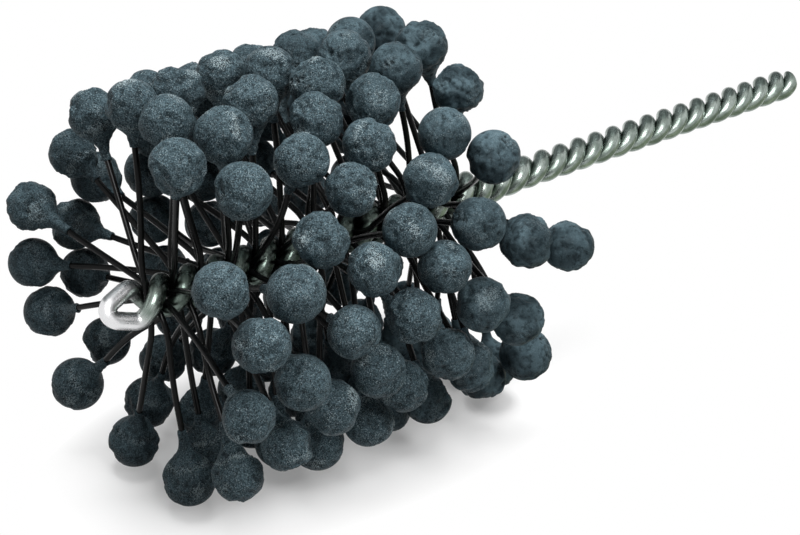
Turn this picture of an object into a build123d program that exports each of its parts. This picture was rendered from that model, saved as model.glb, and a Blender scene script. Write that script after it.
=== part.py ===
from build123d import *
from dataclasses import dataclass
import math
import os

# A flexible hone: abrasive globules on the ends of nylon filaments, which a twisted wire stem
# holds between its two legs. It lies on its globules with the stem level along X, the wire's
# loop at the front and the cut end of the shank at the origin. Lengths are in mm, angles in
# degrees. A station is a distance along the stem from the wire's front end. A clock angle is
# measured about the stem from +Y towards +Z.

# Stem wire, one length folded at the front and twisted left-handed
overall_length = 209.5
wire_diameter = 4.0
head_twist_lead = 14.1
shank_twist_lead = 11.8
leg_gap = 0.1
head_end_station = 98.5
closing_length = 17.7

# Loop at the fold
loop_clock = 60.0
loop_lead_in = 3.2
loop_half_width = 1.5
loop_crossing_turn = 44.0
loop_slope_length = 6.5
loop_bend_radius = 2.4

# Filaments
filament_count = 60
filament_diameter = 1.4
filament_pitch = 1.44
first_filament_station = 11.5
nip_clearance = 0.05
elbow_standoff = 1.8
elbow_radius = 5.0

# Globules
globule_diameter = 12.0
globule_size_spread = 0.04
head_diameter = 97.0
first_globule_station = 4.5
last_globule_station = 94.5
depth_spread = 1.5
globule_clearance = 0.25
neck_shortest = 3.0
neck_longest = 7.0
neck_end_diameter = 2.2

# Rows of filaments and their globules that share a node
row_count = 15

# Angle that counts as much as the head's length when a filament leans to its globule
lean_turn = 120.0

# Most rounds in which crowded globules are moved apart
settling_rounds = 100

# Where the globules of the seen side stand, read by eye: station and clock angle. The stations
# are stretched to run from the first to the last globule's.
SEEN_GLOBULES = [
    # far side of the open front, seen past the loop
    (-1, 10), (-2, 350), (-1, 334), (-1, 309), (10, 0), (9, 27), (15, 13),
    (10, 342), (10, 319), (22, 307), (13, 294), (23, 285), (4, 283), (6, 254), (16, 268),
    # crest of the head
    (9, 52), (10, 78), (21, 57), (21, 76), (35, 50), (36, 67), (49, 54), (42, 84),
    (55, 69), (65, 56), (68, 73), (60, 88), (80, 66),
    # upper flank
    (11, 96), (30, 97), (46, 98), (66, 99), (76, 94), (5, 114), (18, 107), (40, 113),
    (54, 111), (75, 116), (15, 127), (31, 123), (46, 124), (38, 136), (65, 129), (74, 140),
    # middle of the seen side
    (2, 151), (19, 157), (26, 148), (39, 158), (48, 152), (55, 143), (65, 157), (53, 166),
    (8, 169), (30, 175), (46, 176), (64, 182), (77, 167), (88, 173),
    # lower flank, down to the surface it lies on
    (4, 190), (17, 185), (27, 199), (36, 193), (46, 202), (55, 198), (64, 207), (75, 193),
    (10, 232), (17, 213), (32, 235), (41, 222), (61, 233), (78, 231), (84, 219),
]

# The unseen side, which the rest of the globules fill in staggered rings
unseen_first_station = 36.5
unseen_first_clock = 250.0
unseen_last_clock = 398.0

# Sizes that follow from the ones above
wire_radius = wire_diameter / 2
filament_radius = filament_diameter / 2
globule_radius = globule_diameter / 2
globule_circle = head_diameter / 2 - globule_radius
head_rise = head_twist_lead / (2 * math.pi)
shank_rise = shank_twist_lead / (2 * math.pi)


def leg_to_leg(offset):
    """Shortest distance between the centrelines of the two legs, each that far off the axis."""
    turns = [math.radians(degree) for degree in range(121)]
    return min(
        math.sqrt(2 * offset**2 * (1 + math.cos(turn)) + (shank_rise * turn) ** 2)
        for turn in turns
    )


def leg_to_filament(offset):
    """Shortest distance from a leg's centreline to a filament that crosses the axis."""
    turns = [math.radians(degree) for degree in range(91)]
    return min(math.hypot(offset * math.cos(turn), head_rise * turn) for turn in turns)


def smallest_offset(distance, needed):
    """The smallest offset of the legs that leaves the needed distance, to a hundredth of a mm."""
    offset = wire_radius
    while distance(offset) < needed:
        offset += 0.01
    return offset


closed_offset = smallest_offset(leg_to_leg, wire_diameter + leg_gap)
open_offset = smallest_offset(leg_to_filament, wire_radius + filament_radius + nip_clearance)
elbow_reach = open_offset + wire_radius + elbow_standoff

# The loop crosses the axis one wire radius behind the front end. Each leg leaves it through a
# shoulder and a short slope, and starts its helix at this station and clock angle.
crossing_station = wire_radius
helix_slope = math.atan2(open_offset, head_rise)
lead_in_drop = loop_lead_in * math.cos(helix_slope)
helix_start = crossing_station + loop_slope_length + lead_in_drop
helix_start_clock = loop_clock - loop_crossing_turn


def at(station, clock, distance):
    """A point by station, clock angle and distance from the axis, with the stem along Z."""
    turn = math.radians(clock)
    return Vector(distance * math.cos(turn), distance * math.sin(turn), station)


def leg_clock(station):
    """Clock angle of the first leg where the wire holds filaments."""
    return helix_start_clock - 360 * (station - helix_start) / head_twist_lead


def helix_leg(start, start_station, height, end_radius, lead):
    """One stretch of a leg: a left-handed helix from a point, straight or closing in."""
    start_radius = math.hypot(start.X, start.Y)
    cone = math.degrees(math.atan2(end_radius - start_radius, height))
    edge = Helix(lead, height, start_radius, cone_angle=cone, lefthand=True)
    clock = math.degrees(math.atan2(start.Y, start.X))
    return Pos(0, 0, start_station) * Rot(0, 0, clock) * edge


def wire_leg(start):
    """A leg's three stretches: open in the head, closing behind it, closed along the shank."""
    head_length = head_end_station - helix_start
    in_head = helix_leg(start, helix_start, head_length, open_offset, head_twist_lead)
    closing = helix_leg(
        in_head @ 1, head_end_station, closing_length, closed_offset, shank_twist_lead
    )
    shank_start = head_end_station + closing_length
    shank_length = overall_length + wire_diameter - shank_start
    shank = helix_leg(closing @ 1, shank_start, shank_length, closed_offset, shank_twist_lead)
    return [in_head, closing, shank]


def half_loop(side_clock):
    """Corner points of one half of the loop, from its crossing to the start of a leg."""
    leg_start = at(helix_start, side_clock, open_offset)
    tangent_clock = side_clock + 90
    lead = at(0, tangent_clock, loop_lead_in * math.sin(helix_slope))
    shoulder = leg_start + lead - Vector(0, 0, lead_in_drop)
    crossing = at(crossing_station, side_clock + loop_crossing_turn, loop_half_width)
    return [crossing, shoulder, leg_start]


def stem_wire():
    """The folded and twisted wire, cut square at the end of the shank."""
    first = half_loop(helix_start_clock)
    second = half_loop(helix_start_clock + 180)
    corners = list(reversed(first)) + second
    loop = FilletPolyline(*corners, radius=[loop_bend_radius] * 4)
    first_leg = wire_leg(first[-1])
    second_leg = wire_leg(second[-1])
    edges = [edge for stretch in first_leg + [loop] + second_leg for edge in stretch.edges()]
    path = Wire(edges)
    section = Plane(origin=path @ 0, z_dir=path % 0) * Circle(wire_radius)
    wire = sweep(section, path=path)
    square_cut = Plane(origin=(0, 0, overall_length), z_dir=(0, 0, 1))
    return split(wire, bisect_by=square_cut, keep=Keep.BOTTOM)


@dataclass
class Place:
    """Where a globule stands."""

    station: float
    clock: float
    distance: float
    seen: bool


@dataclass
class FilamentEnd:
    """One end of a filament and the globule on it."""

    filament: int
    root: float
    way_out: float
    radius: float
    neck: float
    place: Place

    def centre(self):
        """Centre of the globule."""
        return at(self.place.station, self.place.clock, self.place.distance)

    def elbow(self):
        """Where the filament has come out from between the legs and turns to its globule."""
        return at(self.root, self.way_out, elbow_reach)

    def neck_end(self):
        """Where the filament enters the globule's neck."""
        back = (self.elbow() - self.centre()).normalized()
        return self.centre() + back * (self.radius + self.neck)


def even_spread(index, low, high):
    """A value between two limits that differs from one index to the next without a pattern."""
    golden_share = (math.sqrt(5) - 1) / 2
    return low + (high - low) * (index * golden_share % 1)


def evenly_laid_ends():
    """Both ends of each filament, laid as the twist lays them and fanned out at both ends."""
    ends = []
    for filament in range(filament_count):
        root = first_filament_station + filament * filament_pitch
        share = filament / (filament_count - 1)
        station = first_globule_station + share * (last_globule_station - first_globule_station)
        for side in (0, 1):
            index = 2 * filament + side
            clock = leg_clock(root) + 90 + 180 * side
            size = globule_radius * (1 + even_spread(index, -1, 1) * globule_size_spread)
            neck = even_spread(2 * index, neck_shortest, neck_longest)
            place = Place(station, clock % 360, globule_circle, False)
            ends.append(FilamentEnd(filament, root, clock % 360, size, neck, place))
    return ends


def seen_places():
    """Places of the seen globules, stretched to this head's length."""
    stations = [station for station, _ in SEEN_GLOBULES]
    seen_length = max(stations) - min(stations)
    stretch = (last_globule_station - first_globule_station) / seen_length
    places = []
    for station, clock in SEEN_GLOBULES:
        stretched = first_globule_station + (station - min(stations)) * stretch
        places.append(Place(stretched, clock, globule_circle, True))
    return places


def unseen_places(count):
    """Places for the other globules: staggered rings over the unseen side, uneven in depth."""
    arc = globule_circle * math.radians(unseen_last_clock - unseen_first_clock)
    length = last_globule_station - unseen_first_station
    rings = max(round(math.sqrt(count * length / arc)), 1)
    places = []
    for ring in range(rings):
        first = ring * count // rings
        beyond = (ring + 1) * count // rings
        for number in range(first, beyond):
            stagger = 0.25 + 0.5 * (ring % 2)
            share = (number - first + stagger) / (beyond - first)
            clock = unseen_first_clock + share * (unseen_last_clock - unseen_first_clock)
            station = unseen_first_station + length * ring / max(rings - 1, 1)
            distance = globule_circle - even_spread(number, 0, depth_spread / 2)
            places.append(Place(station, clock % 360, distance, False))
    return places


def clock_gap(first, second):
    """Smallest angle between two clock angles."""
    return abs((first - second + 180) % 360 - 180)


def lean(end, place):
    """How far a place is from where the twist lays a filament end, with no regard to size."""
    head_length = last_globule_station - first_globule_station
    along = (place.station - end.place.station) / head_length
    around = clock_gap(place.clock, end.way_out) / lean_turn
    return along**2 + around**2


def hand_out(ends, places):
    """Gives each filament end a place, and changes pairs about until no change shortens them."""
    laid = sorted(ends, key=lambda end: end.place.station)
    given = sorted(places, key=lambda place: place.station)
    changed = True
    while changed:
        changed = False
        for a in range(len(laid)):
            for b in range(a):
                kept = lean(laid[a], given[a]) + lean(laid[b], given[b])
                changed_over = lean(laid[a], given[b]) + lean(laid[b], given[a])
                if changed_over < kept - 1e-6:
                    given[a], given[b] = given[b], given[a]
                    changed = True
    for end, place in zip(laid, given):
        end.place = place


def move(end, shift):
    """Moves a globule, and keeps it within the head's depth."""
    moved = end.centre() + shift
    end.place.station = moved.Z
    end.place.clock = math.degrees(math.atan2(moved.Y, moved.X)) % 360
    distance = math.hypot(moved.X, moved.Y)
    end.place.distance = min(max(distance, globule_circle - depth_spread), globule_circle)


def share_of(end, other):
    """How much of a correction an end takes: a seen globule gives way less than a hidden one."""
    if end.place.seen == other.place.seen:
        return 0.5
    return 0.15 if end.place.seen else 0.85


def part_globules(ends):
    """Pushes apart the globules that stand too close, and says whether any did."""
    crowded = False
    for number, first in enumerate(ends):
        for second in ends[:number]:
            if abs(first.place.station - second.place.station) > 2 * globule_diameter:
                continue
            gap = first.centre() - second.centre()
            needed = first.radius + second.radius + globule_clearance
            if gap.length >= needed:
                continue
            crowded = True
            push = gap.normalized() * (needed - gap.length + globule_clearance / 5)
            move(first, push * share_of(first, second))
            move(second, push * -share_of(second, first))
    return crowded


def settled_ends():
    """The filament ends once no globule stands in another's place."""
    ends = evenly_laid_ends()
    places = seen_places()
    if len(places) < len(ends):
        places += unseen_places(len(ends) - len(places))
    hand_out(ends, places)
    for _ in range(settling_rounds):
        if not part_globules(ends):
            break
    return ends


def globule(end):
    """An abrasive globule with the neck it tapers into along its filament."""
    reach = end.radius + end.neck
    tip_radius = neck_end_diameter / 2
    to_tip = math.hypot(reach, tip_radius)
    touch = math.atan2(tip_radius, reach) + math.acos(end.radius / to_tip)
    on_ball = (end.radius * math.sin(touch), end.radius * math.cos(touch))
    halfway = (touch + math.pi) / 2
    behind = (end.radius * math.sin(halfway), end.radius * math.cos(halfway))
    outline = Polyline((0, -end.radius), (0, reach), (tip_radius, reach), on_ball)
    ball = ThreePointArc(on_ball, behind, (0, -end.radius))
    face = Plane.XZ * make_face(outline + ball)
    towards_stem = (end.elbow() - end.centre()).normalized()
    return Plane(origin=end.centre(), z_dir=towards_stem) * revolve(face, Axis.Z)


def filament(first, second):
    """A filament from one globule's neck, through the stem, to the neck of the other."""
    corners = [first.neck_end(), first.elbow(), second.elbow(), second.neck_end()]
    path = FilletPolyline(*corners, radius=[elbow_radius, elbow_radius])
    section = Plane(origin=path @ 0, z_dir=path % 0) * Circle(filament_radius)
    return sweep(section, path=path)


# Puts the stem's own frame, along Z from the loop, into the hone's: along X, shank end at 0
lying = Plane(origin=(-overall_length, 0, 0), x_dir=(0, 1, 0), z_dir=(1, 0, 0))


def write(name, shapes):
    """Writes a node's solids to its own file."""
    placed = [lying * shape for shape in shapes]
    node = placed[0] if len(placed) == 1 else Compound(children=placed)
    node.label = name
    export_step(node, f"parts/{name}.step")
    print(name, "solids", len(node.solids()), "volume", round(node.volume, 1))


os.makedirs("parts", exist_ok=True)
write("stem_wire", [stem_wire()])
ends = settled_ends()
pairs = list(zip(ends[0::2], ends[1::2]))
for row in range(row_count):
    in_row = pairs[row * filament_count // row_count:(row + 1) * filament_count // row_count]
    write(f"filaments_row_{row + 1:02d}", [filament(first, second) for first, second in in_row])
    write(f"globules_row_{row + 1:02d}", [globule(end) for pair in in_row for end in pair])
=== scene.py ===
"""Looks of a flexible hone: grit globules on nylon filaments, held in a twisted wire stem."""

import logging
import math
from dataclasses import astuple, dataclass, field
from enum import Enum

import bmesh
import bpy
import numpy as np
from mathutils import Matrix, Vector


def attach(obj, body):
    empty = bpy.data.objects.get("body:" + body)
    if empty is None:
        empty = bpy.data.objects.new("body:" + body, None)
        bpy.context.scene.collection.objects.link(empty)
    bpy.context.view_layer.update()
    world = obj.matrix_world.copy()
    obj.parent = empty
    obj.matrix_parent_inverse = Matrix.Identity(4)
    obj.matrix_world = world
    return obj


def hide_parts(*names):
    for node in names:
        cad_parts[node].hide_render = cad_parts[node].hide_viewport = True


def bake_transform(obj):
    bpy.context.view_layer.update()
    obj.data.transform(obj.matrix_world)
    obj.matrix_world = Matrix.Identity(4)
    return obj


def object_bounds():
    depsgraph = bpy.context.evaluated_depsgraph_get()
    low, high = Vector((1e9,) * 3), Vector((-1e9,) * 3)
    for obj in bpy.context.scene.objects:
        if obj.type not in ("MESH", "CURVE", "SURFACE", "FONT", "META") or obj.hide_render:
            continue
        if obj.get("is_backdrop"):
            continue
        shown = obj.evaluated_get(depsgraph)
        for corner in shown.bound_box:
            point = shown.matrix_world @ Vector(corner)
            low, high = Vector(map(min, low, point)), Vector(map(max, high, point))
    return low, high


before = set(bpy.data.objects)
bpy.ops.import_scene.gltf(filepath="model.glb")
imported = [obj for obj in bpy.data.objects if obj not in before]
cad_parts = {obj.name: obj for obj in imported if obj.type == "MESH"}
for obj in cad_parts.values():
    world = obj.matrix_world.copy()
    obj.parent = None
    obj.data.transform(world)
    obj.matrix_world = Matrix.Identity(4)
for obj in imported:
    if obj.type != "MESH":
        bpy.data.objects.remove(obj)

MM = 0.001
SAME_POINT = 0.001 * MM
RIM_WIDTH = 0.05 * MM
FEWEST_ARC_STEPS = 4
SEEDS = 1 << 30

Colour = tuple[float, float, float]
Point = tuple[float, float, float]
Array = np.ndarray
Draw = np.random.Generator
Material = bpy.types.Material
Socket = bpy.types.NodeSocket

log = logging.getLogger("flexible_hone")


class Body(Enum):
    """The bodies that pieces ride on."""

    STEM = "stem"
    GLOBULES = "globules"


class Slot(Enum):
    """The record's material slots."""

    WIRE = "stem_wire"
    FILAMENTS = "filaments"
    GLOBULES = "globules"


def unit(vectors: Array) -> Array:
    """Scales a vector, or the one in each row, to length one."""
    return vectors / np.linalg.norm(vectors, axis=-1, keepdims=True)


def square_frame(axis: Array) -> Array:
    """Makes a frame around a direction.

    Args:
        axis: The direction, of length one.

    Returns:
        Three rows: two directions square to the axis, and the axis.
    """
    helper = np.eye(3)[int(np.argmin(np.abs(axis)))]
    side = unit(np.cross(helper, axis))
    return np.array([side, np.cross(axis, side), axis])


def smoothstep(share: Array) -> Array:
    """Turns a share from 0 to 1 into one that starts and ends gently."""
    clipped = np.clip(share, 0.0, 1.0)
    return clipped * clipped * (3.0 - 2.0 * clipped)


def even_turns(sides: int) -> Array:
    """Gives even angles round a circle, in radians."""
    return np.arange(sides) * (2 * math.pi / sides)


def lengths_along(path: Array) -> Array:
    """Gives the distance of each point along a path from the path's start."""
    steps = np.linalg.norm(np.diff(path, axis=0), axis=1)
    return np.concatenate([[0.0], np.cumsum(steps)])


@dataclass(frozen=True)
class Relief:
    """Smooth unevenness in space: a sum of plane waves in random directions.

    The size is a typical wavelength. The span gives the shortest and longest as shares of it.
    """

    size: float
    height: float
    waves: int
    span: tuple[float, float] = (0.7, 1.5)

    def at(self, points: Array, draw: Draw) -> Array:
        """Draws the unevenness and reads it.

        Args:
            points: One point in each row.
            draw: Random numbers, of which it takes one as a seed.

        Returns:
            One value for each point, mostly from minus the height to the height.
        """
        own = np.random.default_rng(draw.integers(SEEDS))
        lengths = self.size * own.uniform(*self.span, self.waves)
        directions = unit(own.normal(size=(self.waves, 3))) * (2 * math.pi / lengths)[:, None]
        phases = own.uniform(0.0, 2 * math.pi, self.waves)
        waves = np.cos(points @ directions.T + phases).sum(axis=1)
        return waves / math.sqrt(2.0 * self.waves) * self.height


@dataclass
class MeshData:
    """Corners and four-sided faces of a mesh on its way to becoming a piece."""

    corners: list[Array] = field(default_factory=list)
    faces: list[Array] = field(default_factory=list)
    values: dict[str, list[Array]] = field(default_factory=dict)
    count: int = 0

    def add(self, corners: Array, faces: Array, **values: Array | float) -> None:
        """Adds a shape.

        Args:
            corners: Its corner points.
            faces: Its faces, as corner numbers that start at 0.
            values: Named values for its corners, or one for all of them.
        """
        self.corners.append(corners)
        self.faces.append(faces + self.count)
        for name, value in values.items():
            self.values.setdefault(name, []).append(np.broadcast_to(value, len(corners)))
        self.count += len(corners)

    def piece(self, name: str, material: Material) -> bpy.types.Object:
        """Makes the piece.

        Args:
            name: Its name.
            material: Its finish.

        Returns:
            The object, with its corners in the hone's frame.
        """
        corners = np.concatenate(self.corners).astype(np.float32)
        faces = np.concatenate(self.faces).astype(np.int32)
        mesh = bpy.data.meshes.new(name)
        mesh.vertices.add(len(corners))
        mesh.vertices.foreach_set("co", corners.ravel())
        mesh.loops.add(faces.size)
        mesh.loops.foreach_set("vertex_index", faces.ravel())
        mesh.polygons.add(len(faces))
        mesh.polygons.foreach_set("loop_start", np.arange(0, faces.size, 4, dtype=np.int32))
        mesh.update(calc_edges=True)
        mesh.shade_smooth()
        for label, parts in self.values.items():
            attribute = mesh.attributes.new(label, "FLOAT", "POINT")
            attribute.data.foreach_set("value", np.concatenate(parts).astype(np.float32))
        mesh.materials.append(material)
        obj = bpy.data.objects.new(name, mesh)
        bpy.context.scene.collection.objects.link(obj)
        return obj


def band(rings: int, sides: int) -> Array:
    """Joins rings of corners with four-sided faces.

    Args:
        rings: Number of rings.
        sides: Number of corners in each.

    Returns:
        The faces, as corner numbers.
    """
    ring = np.arange(sides)
    after = (ring + 1) % sides
    starts = np.arange(rings - 1)[:, None] * sides
    quads = [starts + ring, starts + after, starts + sides + after, starts + sides + ring]
    return np.stack(quads, axis=-1).reshape(-1, 4)


def tube(path: Array, radius: float, sides: int) -> Array:
    """Sweeps a circle along a path without twisting it.

    Args:
        path: Points of the path, one in each row.
        radius: The circle's radius.
        sides: Number of corners around.

    Returns:
        The corners, ring by ring.
    """
    tangents = unit(np.gradient(path, axis=0))
    side = square_frame(tangents[0])[0]
    turns = even_turns(sides)
    rings = []
    for point, tangent in zip(path, tangents):
        side = unit(side - tangent * (side @ tangent))
        other = np.cross(tangent, side)
        circle = np.outer(np.cos(turns), side) + np.outer(np.sin(turns), other)
        rings.append(point + radius * circle)
    return np.concatenate(rings)


def rectangle(
    name: str, size: tuple[float, float], height: float, material: Material
) -> bpy.types.Object:
    """Makes a flat level piece for the stage.

    Args:
        name: Its name.
        size: Its length and width.
        height: Its height in its own space.
        material: Its finish.

    Returns:
        The object.
    """
    x, y = size[0] / 2, size[1] / 2
    corners = [(-x, -y, height), (x, -y, height), (x, y, height), (-x, y, height)]
    mesh = bpy.data.meshes.new(name)
    mesh.from_pydata(corners, [], [(0, 1, 2, 3)])
    mesh.materials.append(material)
    obj = bpy.data.objects.new(name, mesh)
    bpy.context.scene.collection.objects.link(obj)
    return obj


def seen_rays(tree: bpy.types.NodeTree) -> Socket:
    """Tells rays that show a thing, straight, mirrored or through glass, from plain light.

    Args:
        tree: The nodes of a material or of the world.

    Returns:
        A value that is 0 for plain light and 1 for the other rays.
    """
    rays = tree.nodes.new("ShaderNodeLightPath")
    total = rays.outputs["Is Camera Ray"]
    for label in ("Is Glossy Ray", "Is Transmission Ray"):
        node = tree.nodes.new("ShaderNodeMath")
        node.operation = "ADD"
        node.use_clamp = True
        tree.links.new(total, node.inputs[0])
        tree.links.new(rays.outputs[label], node.inputs[1])
        total = node.outputs["Value"]
    return total


@dataclass(frozen=True)
class Ramp:
    """How a value follows another: a range of the other, and what the range's ends become."""

    low: float
    high: float
    to_low: float
    to_high: float


class NodeGraph:
    """A material's nodes, made and linked by short calls."""

    def __init__(self, name: str) -> None:
        """Makes the material with its shader and output.

        Args:
            name: The material's name.
        """
        self.material = bpy.data.materials.new(name)
        self.material.use_nodes = True
        self.tree = self.material.node_tree
        self.links = self.tree.links
        self.tree.nodes.clear()
        self.output = self.node("OutputMaterial")
        self.shader = self.node("BsdfPrincipled")
        self.links.new(self.shader.outputs["BSDF"], self.output.inputs["Surface"])

    def node(self, kind: str) -> bpy.types.Node:
        """Adds a node of one kind, named without the words that all kinds start with."""
        return self.tree.nodes.new(f"ShaderNode{kind}")

    def place(self) -> Socket:
        """Gives the place in the piece's own space."""
        return self.node("TexCoord").outputs["Object"]

    def noise(
        self, grain: float, detail: float, roughness: float = 0.55, place: Socket | None = None
    ) -> Socket:
        """Adds noise.

        Args:
            grain: Size of its grain, in metres.
            detail: Number of finer layers in it.
            roughness: Strength of each finer layer.
            place: Where it is read, if not at the place in the piece's own space.

        Returns:
            Its value.
        """
        noise = self.node("TexNoise")
        noise.inputs["Scale"].default_value = 1.0 / grain
        noise.inputs["Detail"].default_value = detail
        noise.inputs["Roughness"].default_value = roughness
        self.links.new(self.place() if place is None else place, noise.inputs["Vector"])
        return noise.outputs["Fac"]

    def beads(self, size: float) -> Socket:
        """Adds a pattern of close beads.

        Args:
            size: Size of a bead, in metres.

        Returns:
            The distance from the nearest bead's middle, as a share of its size.
        """
        cells = self.node("TexVoronoi")
        cells.inputs["Scale"].default_value = 1.0 / size
        self.links.new(self.place(), cells.inputs["Vector"])
        return cells.outputs["Distance"]

    def attribute(self, name: str) -> Socket:
        """Reads one of the mesh's own values.

        Args:
            name: The value's name.

        Returns:
            The value.
        """
        node = self.node("Attribute")
        node.attribute_name = name
        return node.outputs["Fac"]

    def stretched(self, grains: dict[str, float]) -> Socket:
        """Gives a place in a space that some of the mesh's own values span.

        Args:
            grains: Length that counts as one along each of three values, by the value's name.

        Returns:
            The place.
        """
        joined = self.node("CombineXYZ")
        for socket, (name, grain) in zip(joined.inputs, grains.items()):
            scaled = self.node("Math")
            scaled.operation = "DIVIDE"
            scaled.inputs[1].default_value = grain
            self.links.new(self.attribute(name), scaled.inputs[0])
            self.links.new(scaled.outputs["Value"], socket)
        return joined.outputs["Vector"]

    def follow(self, value: Socket, ramp: Ramp) -> Socket:
        """Maps a value by a ramp, and stops at the ramp's ends.

        Args:
            value: The value.
            ramp: The ramp.

        Returns:
            The mapped value.
        """
        node = self.node("MapRange")
        node.clamp = True
        for label, number in zip(("From Min", "From Max", "To Min", "To Max"), astuple(ramp)):
            node.inputs[label].default_value = number
        self.links.new(value, node.inputs["Value"])
        return node.outputs["Result"]

    def mix(self, share: Socket, first: Socket | Colour, second: Socket | Colour) -> Socket:
        """Mixes two colours.

        Args:
            share: How much of the second shows.
            first: The first colour, or a socket that gives it.
            second: The second colour, or a socket that gives it.

        Returns:
            The mixed colour.
        """
        node = self.node("Mix")
        node.data_type = "RGBA"
        self.links.new(share, node.inputs["Factor"])
        for label, colour in (("A", first), ("B", second)):
            socket = next(s for s in node.inputs if s.name == label and s.type == "RGBA")
            if isinstance(colour, tuple):
                socket.default_value = (*colour, 1.0)
            else:
                self.links.new(colour, socket)
        return next(s for s in node.outputs if s.type == "RGBA")

    def joined(self, operation: str, first: Socket, second: Socket) -> Socket:
        """Makes one value of two.

        Args:
            operation: Name of the sum, as the math node knows it.
            first: The first value.
            second: The second value.

        Returns:
            The result.
        """
        node = self.node("Math")
        node.operation = operation
        self.links.new(first, node.inputs[0])
        self.links.new(second, node.inputs[1])
        return node.outputs["Value"]

    def add(self, first: Socket, second: Socket) -> Socket:
        """Adds two values."""
        return self.joined("ADD", first, second)

    def times(self, first: Socket, second: Socket) -> Socket:
        """Multiplies two values."""
        return self.joined("MULTIPLY", first, second)

    def distance(self, middle: Point, reach: Point) -> Socket:
        """Gives the distance from an oval's middle.

        Args:
            middle: The oval's middle.
            reach: Its half lengths.

        Returns:
            A value that is 0 in the middle and 1 on the oval.
        """
        place = self.place()
        for operation, numbers in (("SUBTRACT", middle), ("DIVIDE", reach)):
            node = self.node("VectorMath")
            node.operation = operation
            node.inputs[1].default_value = numbers
            self.links.new(place, node.inputs[0])
            place = node.outputs["Vector"]
        length = self.node("VectorMath")
        length.operation = "LENGTH"
        self.links.new(place, length.inputs[0])
        return length.outputs["Value"]

    def bump(self, height: Socket, depth: float, strength: float) -> None:
        """Gives the surface a fine relief.

        Args:
            height: The relief, from 0 to 1.
            depth: Its full depth, in metres.
            strength: How much of it counts.
        """
        node = self.node("Bump")
        node.inputs["Distance"].default_value = depth
        node.inputs["Strength"].default_value = strength
        self.links.new(height, node.inputs["Height"])
        self.links.new(node.outputs["Normal"], self.shader.inputs["Normal"])

    def set(self, socket: str, value: float | Colour | Socket) -> None:
        """Sets or links one of the shader's sockets.

        Args:
            socket: Its name.
            value: A number, a colour, or a socket to link.
        """
        target = self.shader.inputs[socket]
        if isinstance(value, Socket):
            self.links.new(value, target)
        elif isinstance(value, tuple):
            target.default_value = (*value, 1.0)
        else:
            target.default_value = value


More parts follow.
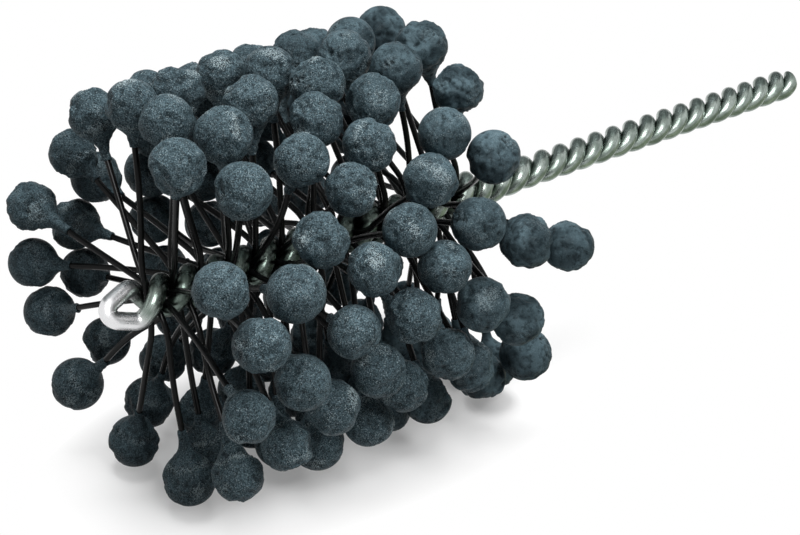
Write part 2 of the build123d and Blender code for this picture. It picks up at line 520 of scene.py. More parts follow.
@dataclass(frozen=True)
class GritFinish:
    """Silicon carbide grit in a matt dark resin.

    Each globule has a "tone_and_painted_light", which is partly how dusty it is at random and
    partly painted light, lighter on the globules that stand towards the lamps, and a "skin",
    which is how smooth it is.
    Each ramp says how much of something such a value, or a noise, gives.
    """

    # Painted shade: the dark colour put into creases and the low spots of the relief.
    painted_pit_shade: Colour = (0.008, 0.013, 0.016)
    body: Colour = (0.043, 0.067, 0.079)
    # Paler colour: random dusty patches, and painted light on globules towards the lamps.
    dusty_and_painted_light: Colour = (0.124, 0.188, 0.217)
    # Pale specks on the highest grains: partly pale loose grit, partly painted glints.
    glint: Colour = (0.37, 0.45, 0.47)
    grain: float = 0.26 * MM
    bead: float = 0.38 * MM
    crumb: float = 1.1 * MM
    patch: float = 6.0 * MM
    relief: float = 0.20 * MM
    gloss: float = 0.05
    coarse: Ramp = Ramp(0.0, 1.0, 1.0, 0.15)
    patchy: Ramp = Ramp(0.3, 0.7, 0.0, 0.35)
    # Painted light and random dustiness: how much paler the tone makes a globule.
    powdered_and_painted_light: Ramp = Ramp(0.0, 1.0, 0.0, 0.65)
    # Painted sheen: on smooth globules, dark mottling between lighter spots stands in for soft
    # sheen.
    cloudy: Ramp = Ramp(0.40, 0.60, 0.60, 0.0)
    # Painted shade: darker in low-level creases, then in the low spots of the crumbs, beads and
    # grains.
    creased: Ramp = Ramp(0.1, 0.48, 0.8, 0.0)
    pitted: Ramp = Ramp(0.34, 0.48, 0.6, 0.0)
    beaded: Ramp = Ramp(0.40, 0.75, 0.0, 0.6)
    grainy: Ramp = Ramp(0.36, 0.48, 0.9, 0.0)
    # Pale loose grit and painted glints: on the highest grains, in crumbly patches and on raised
    # spots, fewer where the tone is low.
    crusted: Ramp = Ramp(0.2, 1.0, 0.0, 0.12)
    raised: Ramp = Ramp(0.4, 1.0, 0.0, 0.05)
    loose_grit_and_glints: Ramp = Ramp(0.60, 0.70, 0.0, 1.0)
    scattered: Ramp = Ramp(0.1, 0.6, 0.25, 1.0)
    roughness: Ramp = Ramp(0.3, 0.7, 0.40, 0.54)
    grain_height: Ramp = Ramp(0.0, 1.0, 0.0, 0.35)
    bead_height: Ramp = Ramp(0.0, 0.8, 0.5, 0.0)

    def material(self) -> Material:
        """Builds the finish.

        Returns:
            The material.
        """
        graph = NodeGraph("grit")
        grains = graph.noise(self.grain, detail=3.0, roughness=0.65)
        beads = graph.beads(self.bead)
        crumbs = graph.noise(self.crumb, detail=3.0, roughness=0.6)
        patches = graph.noise(self.patch, detail=2.0)
        # Random dustiness, mixed with painted light that is brighter towards the lamps' side.
        tone_and_painted_light = graph.attribute("tone_and_painted_light")
        level = graph.attribute("level")
        skin = graph.attribute("skin")
        coarse = graph.follow(skin, self.coarse)

        # Paler in random dust patches, and with painted light where the tone is high.
        dust_and_painted_light_share = graph.add(graph.follow(patches, self.patchy), graph.follow(tone_and_painted_light, self.powdered_and_painted_light))
        colour = graph.mix(dust_and_painted_light_share, self.body, self.dusty_and_painted_light)
        # Painted shade in creases and in the low spots of the crumbs, beads and grains, where the
        # bump dips; on smooth globules, dark mottling that stands in for soft sheen.
        painted_shade_parts = (
            graph.times(skin, graph.follow(patches, self.cloudy)),
            graph.follow(level, self.creased),
            graph.follow(crumbs, self.pitted),
            graph.times(graph.follow(beads, self.beaded), coarse),
            graph.times(graph.follow(grains, self.grainy), coarse),
        )
        for dark in painted_shade_parts:
            colour = graph.mix(dark, colour, self.painted_pit_shade)

        crust = graph.follow(graph.attribute("crust"), self.crusted)
        height = graph.add(grains, graph.add(crust, graph.follow(level, self.raised)))
        # Pale grit specks and painted glints on the highest points, fewer on globules with less
        # painted light.
        glints = graph.times(graph.follow(height, self.loose_grit_and_glints), graph.follow(tone_and_painted_light, self.scattered))
        graph.set("Base Color", graph.mix(graph.times(glints, coarse), colour, self.glint))
        graph.set("Roughness", graph.follow(patches, self.roughness))
        graph.set("Specular IOR Level", self.gloss)

        grain_height = graph.follow(grains, self.grain_height)
        fine = graph.add(grain_height, graph.follow(beads, self.bead_height))
        graph.bump(graph.add(graph.times(fine, coarse), crumbs), self.relief, strength=1.0)
        return graph.material


@dataclass(frozen=True)
class NylonFinish:
    """Black drawn nylon with a soft sheen along its length."""

    dark: Colour = (0.0022, 0.0025, 0.0027)
    # On the nylon this paler colour comes only from random dusty patches, with no painted light.
    dusty_and_painted_light: Colour = (0.0055, 0.006, 0.0063)
    patch: float = 4.0 * MM
    scuff: float = 0.35 * MM
    relief: float = 0.02 * MM
    gloss: float = 0.12
    powdered_and_painted_light: Ramp = Ramp(0.35, 0.75, 0.0, 1.0)
    roughness: Ramp = Ramp(0.3, 0.7, 0.12, 0.22)

    def material(self) -> Material:
        """Builds the finish.

        Returns:
            The material.
        """
        graph = NodeGraph("nylon")
        patches = graph.noise(self.patch, detail=2.0)
        scuffs = graph.noise(self.scuff, detail=2.0)
        # Random dusty patches only.
        dust_and_painted_light_share = graph.follow(patches, self.powdered_and_painted_light)
        graph.set("Base Color", graph.mix(dust_and_painted_light_share, self.dark, self.dusty_and_painted_light))
        graph.set("Roughness", graph.follow(scuffs, self.roughness))
        graph.set("Specular IOR Level", self.gloss)
        graph.bump(scuffs, self.relief, strength=0.4)
        return graph.material


@dataclass(frozen=True)
class ZincFinish:
    """Galvanised steel wire, drawn, twisted and a little dulled."""

    bright: Colour = (0.47, 0.53, 0.495)
    dull: Colour = (0.21, 0.255, 0.225)
    drawn: Colour = (0.13, 0.16, 0.145)
    # Brighter metal round the nose: partly rubbed wear, partly a painted highlight.
    rubbed_and_painted_highlight: Colour = (0.78, 0.78, 0.79)
    # Painted shade for the wire where it runs inside the head.
    painted_head_shade: Colour = (0.06, 0.085, 0.072)
    patch: float = 2.6 * MM
    speck: float = 0.30 * MM
    streak: float = 7.0 * MM
    thread: float = 0.09
    relief: float = 0.03 * MM
    # How much painted shade darkens the wire inside the head.
    head_shading: Ramp = Ramp(0.0, 1.0, 0.0, 0.8)
    coated: Ramp = Ramp(0.35, 0.7, 0.0, 1.0)
    lined: Ramp = Ramp(0.42, 0.62, 0.0, 0.6)
    roughness: Ramp = Ramp(0.3, 0.7, 0.36, 0.20)

    def material(self) -> Material:
        """Builds the finish.

        Returns:
            The material.
        """
        graph = NodeGraph("zinc")
        patches = graph.noise(self.patch, detail=3.0)
        specks = graph.noise(self.speck, detail=2.0)
        threads = {"along": self.streak, "around": self.thread, "across": self.thread}
        lines = graph.noise(grain=1.0, detail=2.0, roughness=0.5, place=graph.stretched(threads))
        colour = graph.mix(graph.follow(patches, self.coated), self.dull, self.bright)
        colour = graph.mix(graph.follow(lines, self.lined), colour, self.drawn)
        # Painted shade: darker where the wire runs inside the head.
        head_shade = graph.follow(graph.attribute("head_shade"), self.head_shading)
        colour = graph.mix(head_shade, colour, self.painted_head_shade)
        # Brighter round the nose: partly rubbed wear, partly a painted highlight.
        graph.set("Base Color", graph.mix(graph.attribute("rub_and_highlight"), colour, self.rubbed_and_painted_highlight))
        graph.set("Metallic", 1.0)
        graph.set("Roughness", graph.follow(patches, self.roughness))
        graph.bump(graph.add(specks, lines), self.relief, strength=0.5)
        return graph.material


@dataclass
class StemWire:
    """One wire, folded into a small loop at the front and twisted left-handed to the cut shank."""

    length: float = 209.5 * MM
    wire_radius: float = 2.0 * MM
    head_lead: float = 14.1 * MM
    shank_lead: float = 11.8 * MM
    head_offset: float = 3.01 * MM
    shank_offset: float = 2.08 * MM
    head_end: float = 98.5 * MM
    closing: float = 17.7 * MM
    loop_clock: float = 60.0
    crossing_turn: float = 44.0
    crossing_reach: float = 1.5 * MM
    slope: float = 6.5 * MM
    lead_in: float = 3.2 * MM
    bend_radius: float = 2.4 * MM
    sides: int = 40
    step: float = 0.35 * MM
    # Where the nose is brighter: partly rubbed wear, partly a painted highlight.
    rub_and_highlight_end: float = 11.0 * MM
    rub_and_highlight_fade: float = 5.0 * MM
    # Where painted shade darkens the wire inside the head.
    head_shade_start: float = 7.0 * MM
    head_shade_end: float = 90.0 * MM
    head_shade_fade: float = 9.0 * MM

    def helix_slope(self) -> float:
        """Gives the angle between the stem and a leg's start."""
        return math.atan2(self.head_offset, self.head_lead / (2 * math.pi))

    def helix_start(self) -> float:
        """Gives the station where each leg starts its helix."""
        return self.wire_radius + self.slope + self.lead_in * math.cos(self.helix_slope())

    def place(self, station: float, clock: float, distance: float) -> Array:
        """Gives a point near the stem.

        Args:
            station: Distance from the wire's front end along the stem.
            clock: Angle about the stem from +Y towards +Z, in degrees.
            distance: Distance from the stem's axis.

        Returns:
            The point in the hone's frame.
        """
        turn = math.radians(clock)
        across = distance * np.array([math.cos(turn), math.sin(turn)])
        return np.array([station - self.length, *across])

    def leg_point(self, start_clock: float, station: float) -> Array:
        """Gives a point of a leg's centreline.

        Args:
            start_clock: Clock angle where the leg leaves the loop, in degrees.
            station: Distance from the wire's front end along the stem.

        Returns:
            The point in the hone's frame.
        """
        in_head = min(station, self.head_end) - self.helix_start()
        in_shank = max(station - self.head_end, 0.0)
        clock = start_clock - 360 * (in_head / self.head_lead + in_shank / self.shank_lead)
        share = min(in_shank / self.closing, 1.0)
        offset = self.head_offset + (self.shank_offset - self.head_offset) * share
        return self.place(station, clock, offset)

    def leg(self, start_clock: float) -> Array:
        """Lays a leg's helix to just past the cut.

        Args:
            start_clock: Clock angle where it leaves the loop, in degrees.

        Returns:
            The points of its centreline.
        """
        start = self.helix_start()
        end = self.length + 2 * self.wire_radius
        stations = np.linspace(start, end, round((end - start) / self.step) + 1)
        return np.array([self.leg_point(start_clock, station) for station in stations])

    def half_loop(self, side_clock: float) -> list[Array]:
        """Lays half the loop.

        Args:
            side_clock: Clock angle of the leg that it leads to, in degrees.

        Returns:
            Its corner points, from the crossing to the start of the leg.
        """
        slope = self.helix_slope()
        start = self.place(self.helix_start(), side_clock, self.head_offset)
        sideways = self.place(self.length, side_clock + 90, self.lead_in * math.sin(slope))
        shoulder = start + sideways - np.array([self.lead_in * math.cos(slope), 0.0, 0.0])
        crossing_clock = side_clock + self.crossing_turn
        crossing = self.place(self.wire_radius, crossing_clock, self.crossing_reach)
        return [crossing, shoulder, start]

    def centreline(self) -> Array:
        """Lays the whole wire.

        Returns:
            Points from one end, round the loop, to the other.
        """
        clock = self.loop_clock - self.crossing_turn
        first = self.half_loop(clock)
        second = self.half_loop(clock + 180)
        loop = rounded([*reversed(first), *second], self.bend_radius, self.step)
        return np.vstack([self.leg(clock)[::-1], loop[1:-1], self.leg(clock + 180)])

    def cut_square(self, wire: bpy.types.Object) -> None:
        """Cuts the wire's two ends off flat where the shank ends.

        Args:
            wire: The wire, which runs on past the cut.
        """
        shape = bmesh.new()
        shape.from_mesh(wire.data)
        bmesh.ops.bisect_plane(
            shape,
            geom=[*shape.verts, *shape.edges, *shape.faces],
            plane_co=(0, 0, 0),
            plane_no=(1, 0, 0),
            clear_outer=True,
        )
        rim = [edge for edge in shape.edges if edge.is_boundary]
        ends = bmesh.ops.edgeloop_fill(shape, edges=rim)["faces"]
        for part in [*rim, *ends]:
            part.smooth = False
        bmesh.ops.recalc_face_normals(shape, faces=shape.faces)
        shape.to_mesh(wire.data)
        shape.free()

    def build(self, finish: ZincFinish) -> None:
        """Makes the wire and sets it in place of its plain solid.

        Args:
            finish: The wire's finish.
        """
        path = self.centreline()
        lengths = lengths_along(path)
        turns = even_turns(self.sides)
        # Brighter nose: partly rubbed wear, partly a painted highlight.
        from_nose = np.abs(lengths - lengths[-1] / 2)
        stations = path[:, 0] + self.length
        # Painted shade inside the head, faded in and out at both ends.
        head_shade_in = smoothstep((stations - self.head_shade_start) / self.head_shade_fade)
        head_shade_out = smoothstep((self.head_shade_end - stations) / self.head_shade_fade)
        data = MeshData()
        data.add(
            tube(path, self.wire_radius, self.sides),
            band(len(path), self.sides),
            along=np.repeat(lengths, self.sides),
            around=np.tile(np.cos(turns), len(path)),
            across=np.tile(np.sin(turns), len(path)),
            rub_and_highlight=np.repeat(smoothstep((self.rub_and_highlight_end - from_nose) / self.rub_and_highlight_fade), self.sides),
            head_shade=np.repeat(head_shade_in * head_shade_out, self.sides),
        )
        wire = data.piece("twisted_wire", finish.material())
        self.cut_square(wire)
        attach(wire, Body.STEM.value)
        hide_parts("stem_wire")
        log.info("%s: %.0f mm of wire", wire.name, lengths[-1] / MM)


def rounded(corners: list[Array], radius: float, step: float) -> Array:
    """Rounds a path's inner corners with arcs.

    Args:
        corners: The path's corner points.
        radius: Radius of each arc.
        step: Distance between the points given back.

    Returns:
        Points along the rounded path, ends included.
    """
    points = [corners[0]]
    for before, corner, after in zip(corners, corners[1:], corners[2:]):
        to_before = unit(before - corner)
        to_after = unit(after - corner)
        turn = math.pi - math.acos(float(np.clip(to_before @ to_after, -1.0, 1.0)))
        reach = radius * math.tan(turn / 2)
        middle = corner + unit(to_before + to_after) * (radius / math.cos(turn / 2))
        start = corner + to_before * reach - middle
        end = corner + to_after * reach - middle
        steps = max(round(radius * turn / step), FEWEST_ARC_STEPS)
        for share in np.linspace(0.0, 1.0, steps + 1):
            a, b = math.sin((1 - share) * turn), math.sin(share * turn)
            points.append(middle + (start * a + end * b) / math.sin(turn))
    points.append(corners[-1])
    path = np.array(points)
    lengths = lengths_along(path)
    even = np.linspace(0.0, lengths[-1], round(lengths[-1] / step) + 1)
    return np.stack([np.interp(even, lengths, path[:, k]) for k in range(3)], axis=1)


def loose_parts(node: str) -> list[Array]:
    """Splits a node's solids.

    Args:
        node: The node's name.

    Returns:
        The corner points of each solid.
    """
    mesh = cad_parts[node].data
    points = np.array([vertex.co for vertex in mesh.vertices], float)
    steps = np.round(points / SAME_POINT).astype(np.int64)
    merged = np.unique(steps, axis=0, return_inverse=True)[1].ravel()
    edges = np.array([edge.vertices[:] for edge in mesh.edges])
    group = np.arange(merged.max() + 1)
    pairs = merged[edges]
    while True:
        lowest = np.minimum(group[pairs[:, 0]], group[pairs[:, 1]])
        changed = group.copy()
        np.minimum.at(changed, pairs[:, 0], lowest)
        np.minimum.at(changed, pairs[:, 1], lowest)
        changed = changed[changed]
        if np.array_equal(changed, group):
            break
        group = changed
    member = group[merged]
    return [points[member == label] for label in np.unique(member)]


def fitted_ball(points: Array) -> tuple[Array, float]:
    """Fits a ball to the half of a solid that is farthest from its pointed end.

    Args:
        points: Corner points of a ball with a neck.

    Returns:
        The ball's centre and radius.
    """
    middle = points.mean(axis=0)
    pointed = points[np.argmax(np.linalg.norm(points - middle, axis=1))]
    reach = np.linalg.norm(points - pointed, axis=1)
    local = points[reach > np.median(reach)] - middle
    terms = np.column_stack([2 * local, np.ones(len(local))])
    found = np.linalg.lstsq(terms, (local**2).sum(axis=1), rcond=None)[0]
    return middle + found[:3], math.sqrt(found[3] + found[:3] @ found[:3])


@dataclass
class Globule:
    """Where one globule stands: its ball, and how its neck points to the stem."""

    centre: Array
    radius: float
    axis: Array
    reach: float

    @classmethod
    def of(cls, points: Array) -> "Globule":
        """Measures a globule's solid.

        Args:
            points: The solid's corner points.

        Returns:
            The globule.
        """
        centre, radius = fitted_ball(points)
        distances = np.linalg.norm(points - centre, axis=1)
        rim = points[distances > distances.max() - RIM_WIDTH]
        rim = np.unique(np.round(rim, decimals=8), axis=0)
        tip = rim.mean(axis=0)
        return cls(centre, radius, unit(tip - centre), float(np.linalg.norm(tip - centre)))

    def tip(self) -> Array:
        """Gives the middle of the neck's end, where the filament comes out."""
        return self.centre + self.axis * self.reach


@dataclass
class GlobuleRow:
    """The globules on one row of filaments: lumpy balls that taper down their filaments."""

    number: int
    rings: int = 76
    sides: int = 96
    neck_points: int = 60
    ball_points: int = 120
    easing: int = 12
    hollow: tuple[float, float] = (1.8, 3.6)
    shrink: float = 0.028
    egg: float = 0.07
    lumps: Relief = Relief(0.8, 0.046, 16)
    bumps: Relief = Relief(0.40, 0.030, 40)
    creases: Relief = Relief(0.26, 0.080, 50)
    patches: Relief = Relief(1.3, 1 / 1.2, 12)
    neck_bumps: Relief = Relief(1.6 * MM, 0.14 * MM, 12)
    smooth_share: float = 0.25
    facet: float = 0.17
    facets: int = 15
    facing_away: float = 0.05
    grit: float = 0.035 * MM
    plain_grit: float = 0.5
    # Painted light: globules that stand farther along this side, towards the lamps, get a lighter
    # tone.
    painted_light_side: Point = (-0.40, -0.72, 0.46)
    painted_light_range: tuple[float, float] = (46.0 * MM, 110.0 * MM)
    skin_range: tuple[float, float] = (-158.0 * MM, -128.0 * MM)
    painted_light_share: float = 0.7
    highest: float = -0.008
    collar_turn: float = 0.78
    collar_spread: float = 0.17
    collar_share: float = 0.8
    ball_turn: float = 0.4
    ball_fade: float = 0.6
    neck_end: float = 1.05 * MM
    neck_turn: float = 38.0
    neck_core: float = 0.8 * MM

    def node(self) -> str:
        """Gives the name of the plain solids that the row stands for."""
        return f"globules_row_{self.number:02d}"

    def outline(self, globule: Globule, hollow: float) -> Array:
        """Draws half a globule's outline, from the neck's end to the far pole.

        Args:
            globule: The globule.
            hollow: How hollow the neck's taper is.

        Returns:
            Even points, each a height along the neck's axis and a distance from it.
        """
        base = math.radians(self.neck_turn)
        base_height = globule.radius * math.cos(base)
        base_width = globule.radius * math.sin(base)
        heights = np.linspace(globule.reach, base_height, self.neck_points)
        share = (globule.reach - heights) / (globule.reach - base_height)
        widths = self.neck_end + (base_width - self.neck_end) * share**hollow
        turns = np.linspace(base, math.pi, self.ball_points)[1:]
        neck = np.column_stack([heights, widths])
        ball = globule.radius * np.column_stack([np.cos(turns), np.sin(turns)])
        points = np.vstack([[globule.reach, 0.0], neck, ball])
        for _ in range(self.easing):
            points[2:-1] = (points[1:-2] + 2 * points[2:-1] + points[3:]) / 4
        lengths = lengths_along(points)
        even = np.linspace(0.0, lengths[-1], self.rings)
        return np.column_stack([np.interp(even, lengths, points[:, k]) for k in range(2)])

    def crust(self, directions: Array, turn: Array, draw: Draw) -> Array:
        """Tells where a globule is crumbly: in patches, and in a collar above its neck.

        Args:
            directions: Directions from its centre.
            turn: Angle of each direction from the neck.
            draw: Its random numbers.

        Returns:
            A share from 0 to 1 for each direction.
        """
        patches = smoothstep(self.patches.at(directions, draw))
        collar = np.exp(-(((turn - self.collar_turn) / self.collar_spread) ** 2))
        return np.clip(patches + self.collar_share * collar, 0.0, 1.0)

    def form(self, directions: Array, draw: Draw) -> Array:
        """Gives a globule's large unevenness: egg shape, lumps and flats.

        Args:
            directions: Directions from its centre.
            draw: Its random numbers.

        Returns:
            How far each point lies from the plain ball, as a share of the radius.
        """
        egg = directions**2 @ draw.uniform(-self.egg, self.egg, 3)
        lumps = self.lumps.at(directions, draw)
        normals = unit(draw.normal(size=(self.facets, 3)))
        depths = 1.0 - self.facet * draw.uniform(0.0, 1.0, self.facets) ** 2
        facing = np.clip(directions @ normals.T, self.facing_away, 1.0)
        flats = np.minimum(depths / facing, 1.0).min(axis=1) - 1.0
        return egg + lumps + flats - self.shrink

    def crumbs(self, directions: Array, crust: Array, draw: Draw) -> Array:
        """Gives a globule's small unevenness: bumps, and crumbs with creases between them.

        Args:
            directions: Directions from its centre.
            crust: How crumbly it is in each direction.
            draw: Its random numbers.

        Returns:
            Height of each point, as a share of the radius.
        """
        bumps = self.bumps.at(directions, draw)
        crumbs = self.creases.height / 2 - np.abs(self.creases.at(directions, draw))
        return bumps + crumbs * (self.smooth_share + (1 - self.smooth_share) * crust)

    def shape(self, globule: Globule, draw: Draw) -> dict[str, Array]:
        """Forms one globule.

        Args:
            globule: Where it stands.
            draw: Its random numbers.

        Returns:
            Its corners in the hone's frame, ring by ring, and at each how crumbly it is
            ("crust") and how far it stands out of its surroundings ("level", 0.5 for flush).
        """
        outline = self.outline(globule, draw.uniform(*self.hollow))
        height = np.repeat(outline[:, 0], self.sides)
        width = np.repeat(outline[:, 1], self.sides)
        around = np.tile(even_turns(self.sides), self.rings)
        local = np.column_stack([width * np.cos(around), width * np.sin(around), height])
        directions = unit(local)
        turn = np.arccos(np.clip(directions[:, 2], -1.0, 1.0))
        crust = self.crust(directions, turn, draw)
        on_ball = smoothstep((turn - self.ball_turn) / self.ball_fade)
        small = self.crumbs(directions, crust, draw)
        grit = draw.normal(0.0, self.grit, len(local)) * (self.plain_grit + crust)
        ball = self.form(directions, draw) + small + grit / globule.radius
        ball = on_ball * np.minimum(ball, self.highest) * globule.radius
        neck = (1.0 - on_ball) * self.neck_bumps.at(local, draw)
        neck = neck * np.minimum(width / self.neck_core, 1.0)
        across = local * np.array([1.0, 1.0, 0.0]) / np.maximum(width, SAME_POINT)[:, None]
        local = local + directions * ball[:, None] + across * neck[:, None]
        corners = globule.centre + local @ square_frame(globule.axis)
        level = 0.5 + small / (4 * self.bumps.height)
        return {"corners": corners, "crust": crust, "level": level}

    def build(self, material: Material) -> list[Globule]:
        """Makes the row and sets it in place of its plain solids.

        Args:
            material: The finish.

        Returns:
            The globules.
        """
        globules = [Globule.of(points) for points in loose_parts(self.node())]
        data = MeshData()
        for index, globule in enumerate(globules):
            draw = np.random.default_rng([self.number, index])
            # Painted light mixed with random dustiness: the tone is lighter for globules towards
            # the lamps.
            dust_and_painted_light_share = np.interp(globule.centre @ self.painted_light_side, self.painted_light_range, (0.0, 1.0))
            tone_and_painted_light = (1 - self.painted_light_share) * draw.uniform() + self.painted_light_share * dust_and_painted_light_share
            skin = np.interp(globule.centre[0], self.skin_range, (0.0, 1.0))
            faces = band(self.rings, self.sides)
            data.add(faces=faces, tone_and_painted_light=tone_and_painted_light, skin=skin, **self.shape(globule, draw))
        row = data.piece(f"grit_globules_{self.number:02d}", material)
        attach(row, Body.GLOBULES.value)
        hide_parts(self.node())
        log.info("%s: %d globules", row.name, len(globules))
        return globules


@dataclass
class FilamentRow:
    """One row of filaments, each nipped between the wire's legs and bent out to its globules."""

    number: int
    radius: float = 0.7 * MM
    sides: int = 14
    bend_points: int = 7
    run_points: int = 18
    bow: float = 0.066
    into_neck: float = 1.5 * MM
    bend: float = 3.5 * MM
    rim_width: float = 0.08 * MM
    root_reach: float = 5.0 * MM
    seed_step: int = 1000

    def node(self) -> str:
        """Gives the name of the plain solids that the row stands for."""
        return f"filaments_row_{self.number:02d}"

    def ends(self, points: Array, globules: list[Globule]) -> list[Globule]:
        """Finds the two of the row's globules whose necks a filament's points reach."""
        nearest = [np.linalg.norm(points - globule.tip(), axis=1).min() for globule in globules]
        return [globules[index] for index in np.argsort(nearest)[:2]]

    def way_out(self, points: Array, globule: Globule) -> tuple[Array, Array]:
        """Finds where a filament leaves the wire on one side.

        Args:
            points: Corner points of the filament's solid.
            globule: The globule on that side.

        Returns:
            The point on the stem's axis that it crosses, and the direction that it leaves in.
        """
        outward = unit(globule.tip()[1:])
        side = points[points[:, 1:] @ outward > 0]
        distances = np.linalg.norm(side[:, 1:], axis=1)
        ring = side[distances < distances.min() + self.rim_width].mean(axis=0)
        return np.array([ring[0], 0.0, 0.0]), unit(np.array([0.0, ring[1], ring[2]]))

    def half(self, root: Array, direction: Array, globule: Globule, bow: Array) -> Array:
        """Lays one side of a filament.

        Args:
            root: Where it crosses the stem's axis.
            direction: The way it leaves the wire.
            globule: The globule that it holds.
            bow: How it bows between the wire and the globule.

        Returns:
            Points from the stem's axis into the globule's neck.
        """
        end = globule.tip() - globule.axis * self.into_neck
        across = np.cross(direction, globule.axis)
        offset = np.cross(globule.tip() - root, globule.axis)
        elbow = root + direction * float((offset @ across) / (across @ across))
        run = end - elbow
        straight_in = elbow - direction * self.bend
        straight_out = elbow + unit(run) * self.bend
        turn = np.linspace(0.0, 1.0, self.bend_points)[:, None]
        arc = (1 - turn) ** 2 * straight_in + 2 * turn * (1 - turn) * elbow + turn**2 * straight_out
        shares = np.linspace(0.0, 1.0, self.run_points)[1:, None]
        rest = straight_out + (end - straight_out) * shares + bow * np.sin(math.pi * shares)
        return np.vstack([root, arc, rest])

    def build(self, globules: list[Globule], material: Material) -> None:
        """Makes the row and sets it in place of its plain solids.

        Args:
            globules: The globules that the row holds.
            material: The finish.
        """
        data = MeshData()
        outer = min(np.linalg.norm(globule.tip()[1:]) for globule in globules)
        for index, points in enumerate(loose_parts(self.node())):
            draw = np.random.default_rng(self.seed_step * self.number + index)
            halves = []
            for globule in self.ends(points, globules):
                root, direction = self.way_out(points, globule)
                sideways = square_frame(globule.axis)[0]
                bow = sideways * draw.normal(0.0, self.bow) * globule.reach
                halves.append(self.half(root, direction, globule, bow))
            path = np.vstack([halves[0][::-1], halves[1][1:]])
            data.add(tube(path, self.radius, self.sides), band(len(path), self.sides))
        row = data.piece(f"nylon_filaments_{self.number:02d}", material)
        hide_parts(self.node())
        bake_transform(row)
        log.info("%s: %d filaments", row.name, len(data.corners))


@dataclass(frozen=True)
class Board:
    """A board that only shiny surfaces show."""

    name: str
    colour: Colour
    size: tuple[float, float]
    place: Point
    facing: Point


class LampUse(Enum):
    """What a lamp adds, by the name of the setting that it goes without."""

    LIGHT = "visible_glossy"
    SHEEN = "visible_diffuse"


@dataclass(frozen=True)
class Lamp:
    """A square lamp that shines at the head."""

    name: str
    place: Point
    size: float
    power: float
    use: LampUse


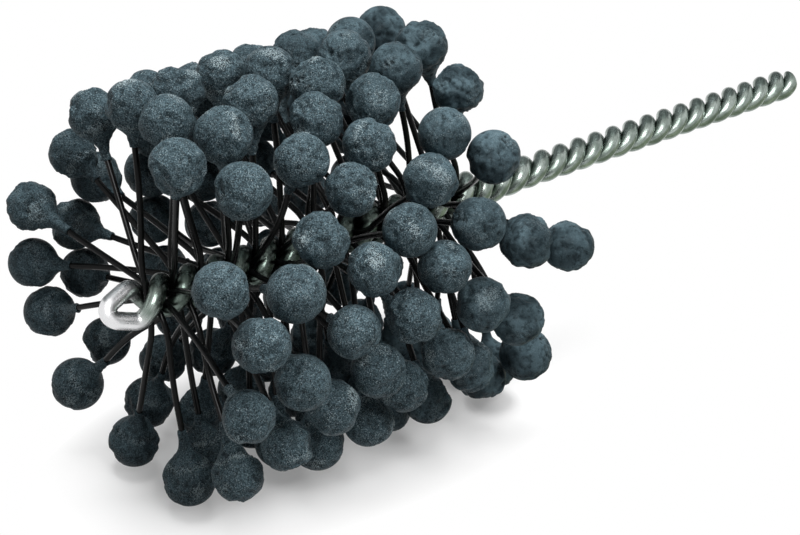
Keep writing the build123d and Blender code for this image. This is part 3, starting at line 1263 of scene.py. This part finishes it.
@dataclass
class Studio:
    """A white table, soft light, and the camera where the photograph was taken from."""

    eye: Point = (-358.04 * MM, -310.19 * MM, 200.82 * MM)
    heading: float = 36.3
    tilt: float = 29.2
    lens: float = 83.0
    sensor: float = 36.0
    head_middle: Point = (-0.15, 0.0, 0.0)
    floor_size: tuple[float, float] = (6.0, 6.0)
    floor_colour: Colour = (0.36, 0.36, 0.36)
    floor_seen: Colour = (0.62, 0.62, 0.62)
    floor_roughness: float = 0.9
    floor_gloss: float = 0.1
    floor_lift: Ramp = Ramp(0.0, 1.0, 0.0, 0.25)
    shade_reach: Point = (0.06, 0.03, 1.0)
    shade_fade: Ramp = Ramp(0.8, 1.35, 0.0, 1.0)
    room_light: float = 0.05
    lamps: tuple[Lamp, ...] = (
        Lamp("key_lamp", (-0.05, -0.85, 1.05), 0.5, 12.0, LampUse.LIGHT),
        Lamp("top_lamp", (-0.03, 0.2, 1.4), 0.6, 21.0, LampUse.LIGHT),
        Lamp("sheen_lamp", (-0.75, -0.7, 0.95), 0.6, 13.0, LampUse.SHEEN),
    )
    boards: tuple[Board, ...] = (
        Board("grey_board", (0.78, 0.85, 0.87), (2.8, 1.9), (0.35, 0.7, 0.85), (0.35, 0.7, 0.85)),
        Board("olive_board", (0.31, 0.345, 0.265), (0.5, 0.55), (0.13, -0.29, -0.047), (0, 0, 1)),
    )

    def floor(self, height: float) -> None:
        """Lays the table.

        Args:
            height: Height of its top.
        """
        graph = NodeGraph("table")
        links = graph.links
        seen = seen_rays(graph.tree)
        graph.set("Base Color", graph.mix(seen, self.floor_colour, self.floor_seen))
        graph.set("Roughness", self.floor_roughness)
        graph.set("Specular IOR Level", self.floor_gloss)
        glow = graph.node("Emission")
        links.new(graph.follow(seen, self.floor_lift), glow.inputs["Strength"])
        lifted = graph.node("AddShader")
        links.new(graph.shader.outputs["BSDF"], lifted.inputs[0])
        links.new(glow.outputs["Emission"], lifted.inputs[1])
        away = graph.follow(graph.distance(self.head_middle, self.shade_reach), self.shade_fade)
        faded = graph.node("MixShader")
        links.new(graph.times(seen, away), faded.inputs["Fac"])
        links.new(lifted.outputs["Shader"], faded.inputs[1])
        links.new(graph.node("Emission").outputs["Emission"], faded.inputs[2])
        links.new(faded.outputs["Shader"], graph.output.inputs["Surface"])
        table = rectangle("table_top", self.floor_size, height, graph.material)
        table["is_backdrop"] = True

    def board(self, board: Board) -> None:
        """Hangs a board.

        Args:
            board: The board.
        """
        graph = NodeGraph(board.name)
        graph.set("Base Color", board.colour)
        graph.set("Roughness", 1.0)
        graph.set("Specular IOR Level", 0.0)
        obj = rectangle(board.name, board.size, 0.0, graph.material)
        obj.location = board.place
        obj.rotation_mode = "QUATERNION"
        obj.rotation_quaternion = Vector(board.facing).to_track_quat("Z", "Y")
        for use in ("camera", "diffuse", "transmission", "shadow"):
            setattr(obj, f"visible_{use}", False)
        obj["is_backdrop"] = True

    def lamp(self, lamp: Lamp) -> None:
        """Hangs a lamp.

        Args:
            lamp: The lamp.
        """
        light = bpy.data.lights.new(lamp.name, "AREA")
        light.shape = "SQUARE"
        light.size = lamp.size
        light.energy = lamp.power
        obj = bpy.data.objects.new(lamp.name, light)
        obj.location = lamp.place
        aim = Vector(self.head_middle) - Vector(lamp.place)
        obj.rotation_mode = "QUATERNION"
        obj.rotation_quaternion = aim.to_track_quat("-Z", "Y")
        setattr(obj, lamp.use.value, False)
        bpy.context.scene.collection.objects.link(obj)

    def world(self) -> None:
        """Fills the room with plain white light, and shows it white behind the table."""
        world = bpy.data.worlds.new("white_room")
        world.use_nodes = True
        tree = world.node_tree
        strength = tree.nodes.new("ShaderNodeMapRange")
        strength.inputs["To Min"].default_value = self.room_light
        background = tree.nodes["Background"]
        background.inputs["Color"].default_value = (1.0, 1.0, 1.0, 1.0)
        tree.links.new(seen_rays(tree), strength.inputs["Value"])
        tree.links.new(strength.outputs["Result"], background.inputs["Strength"])
        bpy.context.scene.world = world

    def camera(self) -> None:
        """Sets the camera where the photograph was taken from."""
        data = bpy.data.cameras.new("camera")
        data.lens = self.lens
        data.sensor_width = self.sensor
        camera = bpy.data.objects.new("camera", data)
        camera.location = self.eye
        camera.rotation_euler = (math.radians(90.0 - self.tilt), 0.0, math.radians(-self.heading))
        bpy.context.scene.collection.objects.link(camera)
        bpy.context.scene.camera = camera

    def build(self, height: float) -> None:
        """Sets the stage.

        Args:
            height: Height of the table's top.
        """
        self.floor(height)
        for lamp in self.lamps:
            self.lamp(lamp)
        for board in self.boards:
            self.board(board)
        self.world()
        self.camera()
        bpy.context.scene.view_settings.view_transform = "Standard"
        log.info("stage: table at %.2f mm", height / MM)


def main() -> None:
    """Builds the hone's pieces in order and notes the sizes."""
    logging.basicConfig(level=logging.INFO, format="%(name)s %(message)s")
    cad_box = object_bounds()
    Studio().build(cad_box[0].z)
    StemWire().build(ZincFinish())
    rows = sum(name.startswith("globules_row_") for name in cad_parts)
    grit = GritFinish().material()
    nylon = NylonFinish().material()
    for number in range(1, rows + 1):
        globules = GlobuleRow(number).build(grit)
        FilamentRow(number).build(globules, nylon)


if __name__ == "__main__":
    main()
